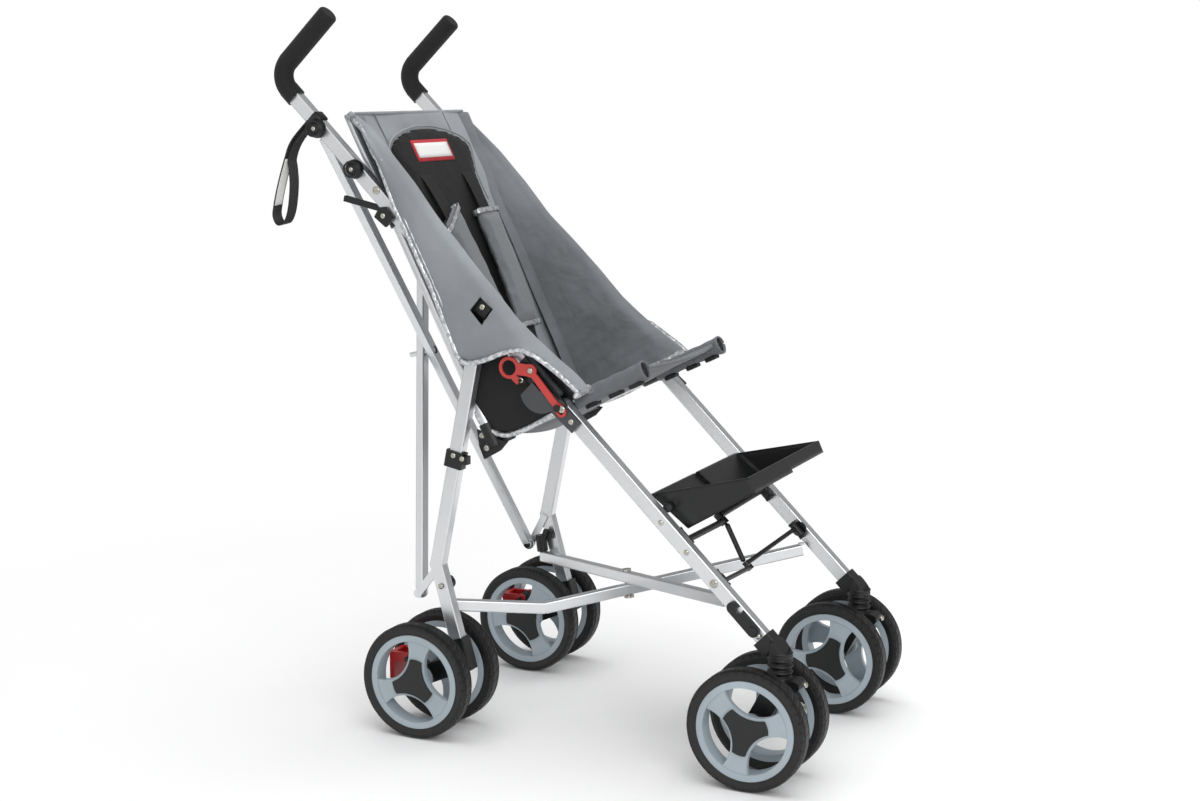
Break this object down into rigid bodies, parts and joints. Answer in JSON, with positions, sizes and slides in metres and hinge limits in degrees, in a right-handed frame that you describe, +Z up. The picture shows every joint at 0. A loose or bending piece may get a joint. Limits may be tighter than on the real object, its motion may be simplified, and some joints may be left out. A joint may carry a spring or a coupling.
{
  "type": "special needs buggy",
  "caption": "Umbrella-fold special needs buggy with sling seat, padded side wings, twin wheels on swivelling front casters, footrest tray and pull-ring knee locks",
  "frame": {"origin": "on the floor under the middle of the standing buggy", "axes": "+Z up, -Y to the front, -X to the occupant's right"},
  "size_m": [0.5002, 0.8963, 1.1126],
  "materials": {
    "tyre_rubber": "matte ribbed rubber",
    "rim_plastic": "moulded, satin",
    "grip_foam": "matte closed-cell foam",
    "seat_fabric": "woven, padded",
    "pad_fabric": "woven, padded",
    "webbing": "flat woven webbing",
    "wing_fabric": "woven, coated",
    "boot_rubber": "moulded, matte",
    "red_plastic": "moulded, satin gloss",
    "axle_steel": "turned",
    "plate_steel": "dark grey coat",
    "tube_aluminium": "satin anodised",
    "black_steel": "black powder coat",
    "black_plastic": "moulded, fine grain"
  },
  "bodies": {
    "cross_bolt": {"lower_cross_bolt": "black_plastic"},
    "lower_cross_right": {"lower_cross_tube_right": "tube_aluminium"},
    "rear_joint_right": {"rear_joint_right": "black_plastic"},
    "rear_leg_right": {"rear_leg_right": "tube_aluminium", "rear_hub_right": "black_plastic"},
    "brake_right": {"brake_pedal_right": "red_plastic"},
    "rear_wheels_right": {"rear_tyres_right": "tyre_rubber", "rear_rims_right": "rim_plastic", "rear_axle_right": "axle_steel"},
    "rear_cross_right": {"rear_cross_tube_right": "tube_aluminium"},
    "handle_right": {"handle_tube_right": "tube_aluminium", "handle_grip_right": "grip_foam", "back_tube_right": "tube_aluminium", "seat_rail_right": "tube_aluminium", "frame_brackets_right": "black_plastic", "side_cloth_right": "wing_fabric", "seat_cloth": "seat_fabric", "shoulder_straps": "pad_fabric", "wrist_strap": "webbing"},
    "lever_right": {"lock_lever_right": "red_plastic"},
    "front_leg_right": {"front_leg_right": "tube_aluminium", "knee_plate_right": "plate_steel", "caster_socket_right": "black_plastic", "footrest_half_right": "black_plastic"},
    "boot_right": {"spring_boot_right": "boot_rubber"},
    "fork_right": {"caster_fork_right": "black_plastic"},
    "front_wheels_right": {"front_tyres_right": "tyre_rubber", "front_rims_right": "rim_plastic", "front_axle_right": "axle_steel"},
    "arm_right": {"footrest_arm_right": "black_steel"},
    "link_right": {"footrest_link_right": "black_steel"},
    "lower_cross_left": {"lower_cross_tube_left": "tube_aluminium"},
    "rear_joint_left": {"rear_joint_left": "black_plastic"},
    "rear_leg_left": {"rear_leg_left": "tube_aluminium", "rear_hub_left": "black_plastic"},
    "brake_left": {"brake_pedal_left": "red_plastic"},
    "rear_wheels_left": {"rear_tyres_left": "tyre_rubber", "rear_rims_left": "rim_plastic", "rear_axle_left": "axle_steel"},
    "rear_cross_left": {"rear_cross_tube_left": "tube_aluminium"},
    "handle_left": {"handle_tube_left": "tube_aluminium", "handle_grip_left": "grip_foam", "back_tube_left": "tube_aluminium", "seat_rail_left": "tube_aluminium", "frame_brackets_left": "black_plastic", "side_cloth_left": "wing_fabric"},
    "lever_left": {"lock_lever_left": "red_plastic"},
    "front_leg_left": {"front_leg_left": "tube_aluminium", "knee_plate_left": "plate_steel", "caster_socket_left": "black_plastic", "footrest_half_left": "black_plastic"},
    "boot_left": {"spring_boot_left": "boot_rubber"},
    "fork_left": {"caster_fork_left": "black_plastic"},
    "front_wheels_left": {"front_tyres_left": "tyre_rubber", "front_rims_left": "rim_plastic", "front_axle_left": "axle_steel"},
    "arm_left": {"footrest_arm_left": "black_steel"},
    "link_left": {"footrest_link_left": "black_steel"},
    "push_bar": {"push_bar": "black_steel"},
    "fold_hook": {"fold_hook": "black_plastic"}
  },
  "joints": [
    {"name": "lower_scissor_right", "type": "hinge", "parent": "cross_bolt", "child": "lower_cross_right", "pos_m": [0, -0.06549, 0.22596], "axis": [0, -0.1277, -0.9918], "range_deg": [0, 16.97]},
    {"name": "rear_joint_turn_right", "type": "hinge", "parent": "lower_cross_right", "child": "rear_joint_right", "pos_m": [-0.17, 0.16755, 0.19595], "axis": [0, 0.1277, 0.9918], "range_deg": [0, 16.97]},
    {"name": "rear_leg_pitch_right", "type": "hinge", "parent": "rear_joint_right", "child": "rear_leg_right", "pos_m": [-0.17, 0.15955, 0.23325], "axis": [1, 0, 0], "range_deg": [0, 12.2]},
    {"name": "handle_pitch_right", "type": "hinge", "parent": "rear_leg_right", "child": "handle_right", "pos_m": [-0.19, 0.09386, 0.63327], "axis": [1, 0, 0], "range_deg": [0, 16.33]},
    {"name": "fold", "type": "hinge", "parent": "handle_right", "child": "front_leg_right", "pos_m": [-0.19, -0.0463, 0.528], "axis": [-1, 0, 0], "range_deg": [0, 46.51], "deforming": ["seat_cloth", "shoulder_straps"]},
    {"name": "rear_cross_swing_right", "type": "hinge", "parent": "rear_leg_right", "child": "rear_cross_right", "pos_m": [-0.168, 0.21227, 0.21103], "axis": [0.5559, -0.8176, 0.1501], "range_deg": [0, 13.95]},
    {"name": "lock_lever_slide_right", "type": "slide", "parent": "handle_right", "child": "lever_right", "axis": [0, 0.712, 0.7022], "range_m": [0, 0.008], "stiffness_N_per_m": 600},
    {"name": "brake_pedal_turn_right", "type": "hinge", "parent": "rear_leg_right", "child": "brake_right", "pos_m": [-0.19, 0.2137, 0.114], "axis": [-1, 0, 0], "range_deg": [0, 25]},
    {"name": "rear_wheel_spin_right", "type": "hinge", "parent": "rear_leg_right", "child": "rear_wheels_right", "pos_m": [-0.19, 0.1837, 0.09], "axis": [1, 0, 0], "continuous": true},
    {"name": "caster_swivel_right", "type": "hinge", "parent": "front_leg_right", "child": "boot_right", "pos_m": [-0.19, -0.3901, 0.19], "axis": [0, 0, 1], "continuous": true},
    {"name": "caster_spring_right", "type": "slide", "parent": "boot_right", "child": "fork_right", "axis": [0, 0, 1], "range_m": [0, 0.01], "stiffness_N_per_m": 20000, "springref_m": -0.004, "deforming": ["spring_boot_right"]},
    {"name": "front_wheel_spin_right", "type": "hinge", "parent": "fork_right", "child": "front_wheels_right", "pos_m": [-0.19, -0.3581, 0.09], "axis": [1, 0, 0], "continuous": true},
    {"name": "footrest_arm_swing_right", "type": "hinge", "parent": "front_leg_right", "child": "arm_right", "pos_m": [-0.17, -0.23285, 0.34404], "axis": [0, 0.712, 0.7022], "range_deg": [0, 52.49]},
    {"name": "footrest_link_swing_right", "type": "hinge", "parent": "front_leg_right", "child": "link_right", "pos_m": [-0.17, -0.29052, 0.28717], "axis": [0, 0.712, 0.7022], "range_deg": [0, 47]},
    {"name": "lower_scissor_left", "type": "hinge", "parent": "cross_bolt", "child": "lower_cross_left", "pos_m": [0, -0.06549, 0.22596], "axis": [0, 0.1277, 0.9918], "range_deg": [0, 16.97]},
    {"name": "rear_joint_turn_left", "type": "hinge", "parent": "lower_cross_left", "child": "rear_joint_left", "pos_m": [0.17, 0.16755, 0.19595], "axis": [0, -0.1277, -0.9918], "range_deg": [0, 16.97]},
    {"name": "rear_leg_pitch_left", "type": "hinge", "parent": "rear_joint_left", "child": "rear_leg_left", "pos_m": [0.17, 0.15955, 0.23325], "axis": [1, 0, 0], "range_deg": [0, 12.2]},
    {"name": "handle_pitch_left", "type": "hinge", "parent": "rear_leg_left", "child": "handle_left", "pos_m": [0.19, 0.09386, 0.63327], "axis": [1, 0, 0], "range_deg": [0, 16.33]},
    {"name": "knee_left", "type": "hinge", "parent": "handle_left", "child": "front_leg_left", "pos_m": [0.19, -0.0463, 0.528], "axis": [-1, 0, 0], "range_deg": [0, 46.51]},
    {"name": "rear_cross_swing_left", "type": "hinge", "parent": "rear_leg_left", "child": "rear_cross_left", "pos_m": [0.168, 0.19483, 0.21548], "axis": [0.5559, 0.8176, -0.1501], "range_deg": [0, 13.95]},
    {"name": "lock_lever_slide_left", "type": "slide", "parent": "handle_left", "child": "lever_left", "axis": [0, 0.712, 0.7022], "range_m": [0, 0.008], "stiffness_N_per_m": 600},
    {"name": "brake_pedal_turn_left", "type": "hinge", "parent": "rear_leg_left", "child": "brake_left", "pos_m": [0.19, 0.2137, 0.114], "axis": [-1, 0, 0], "range_deg": [0, 25]},
    {"name": "rear_wheel_spin_left", "type": "hinge", "parent": "rear_leg_left", "child": "rear_wheels_left", "pos_m": [0.19, 0.1837, 0.09], "axis": [1, 0, 0], "continuous": true},
    {"name": "caster_swivel_left", "type": "hinge", "parent": "front_leg_left", "child": "boot_left", "pos_m": [0.19, -0.3901, 0.19], "axis": [0, 0, 1], "continuous": true},
    {"name": "caster_spring_left", "type": "slide", "parent": "boot_left", "child": "fork_left", "axis": [0, 0, 1], "range_m": [0, 0.01], "stiffness_N_per_m": 20000, "springref_m": -0.004, "deforming": ["spring_boot_left"]},
    {"name": "front_wheel_spin_left", "type": "hinge", "parent": "fork_left", "child": "front_wheels_left", "pos_m": [0.19, -0.3581, 0.09], "axis": [1, 0, 0], "continuous": true},
    {"name": "footrest_arm_swing_left", "type": "hinge", "parent": "front_leg_left", "child": "arm_left", "pos_m": [0.17, -0.23285, 0.34404], "axis": [0, -0.712, -0.7022], "range_deg": [0, 52.49]},
    {"name": "footrest_link_swing_left", "type": "hinge", "parent": "front_leg_left", "child": "link_left", "pos_m": [0.17, -0.29052, 0.28717], "axis": [0, -0.712, -0.7022], "range_deg": [0, 47]},
    {"name": "push_bar_turn", "type": "hinge", "parent": "arm_right", "child": "push_bar", "pos_m": [0, -0.22827, 0.3317], "axis": [0, -0.712, -0.7022], "range_deg": [0, 52.49]},
    {"name": "fold_hook_turn", "type": "hinge", "parent": "front_leg_right", "child": "fold_hook", "pos_m": [-0.202, -0.35318, 0.22537], "axis": [-1, 0, 0], "range_deg": [0, 90]}
  ],
  "couplings": [
    {"joint": "lower_scissor_right", "follows": "fold", "ratio": 0.365},
    {"joint": "rear_joint_turn_right", "follows": "fold", "ratio": 0.365},
    {"joint": "rear_leg_pitch_right", "follows": "fold", "ratio": 0.26228},
    {"joint": "handle_pitch_right", "follows": "fold", "ratio": 0.35118},
    {"joint": "rear_cross_swing_right", "follows": "fold", "ratio": 0.29989},
    {"joint": "footrest_arm_swing_right", "follows": "fold", "ratio": 1.1286},
    {"joint": "footrest_link_swing_right", "follows": "fold", "ratio": 1.0106},
    {"joint": "lower_scissor_left", "follows": "fold", "ratio": 0.365},
    {"joint": "rear_joint_turn_left", "follows": "fold", "ratio": 0.365},
    {"joint": "rear_leg_pitch_left", "follows": "fold", "ratio": 0.26228},
    {"joint": "handle_pitch_left", "follows": "fold", "ratio": 0.35118},
    {"joint": "knee_left", "follows": "fold", "ratio": 1},
    {"joint": "rear_cross_swing_left", "follows": "fold", "ratio": 0.29989},
    {"joint": "footrest_arm_swing_left", "follows": "fold", "ratio": 1.1286},
    {"joint": "footrest_link_swing_left", "follows": "fold", "ratio": 1.0106},
    {"joint": "push_bar_turn", "follows": "fold", "ratio": 1.1286}
  ]
}
